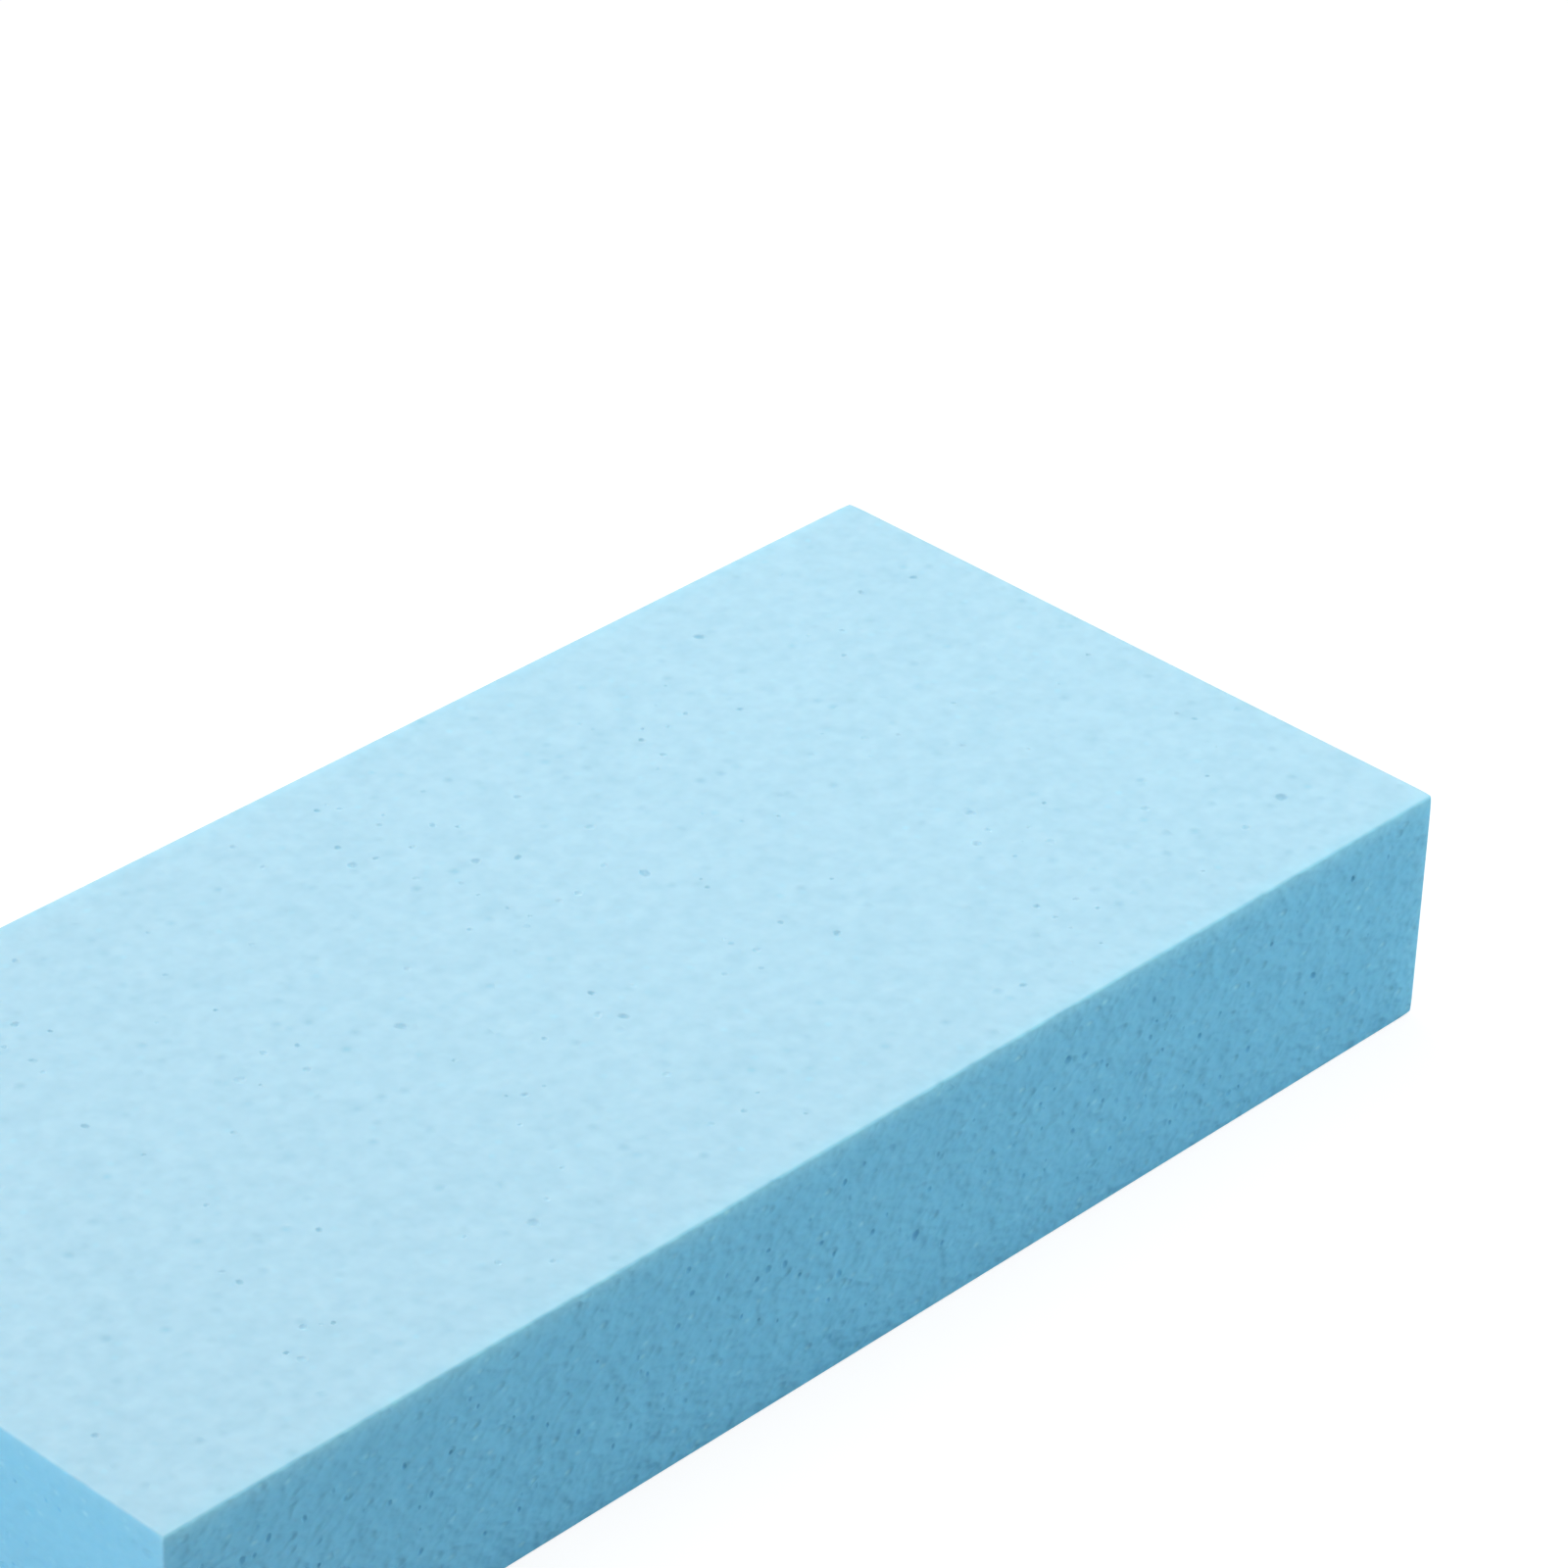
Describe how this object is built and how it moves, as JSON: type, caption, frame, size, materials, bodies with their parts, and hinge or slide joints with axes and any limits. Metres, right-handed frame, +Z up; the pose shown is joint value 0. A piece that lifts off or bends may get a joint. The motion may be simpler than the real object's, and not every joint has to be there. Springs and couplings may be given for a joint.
{
  "type": "foam block",
  "caption": "Plain rectangular block of soft open-cell foam, cut square from a flat sheet, used as padding, packing or a work rest.",
  "frame": {"origin": "middle of the bottom face, which the block rests on", "axes": "+X along the block's length, +Y across its width, +Z up through the thickness of the sheet"},
  "size_m": [0.322, 0.152, 0.05],
  "materials": {
    "foam": "matte"
  },
  "bodies": {
    "root": {"foam_block": "foam"}
  },
  "joints": []
}
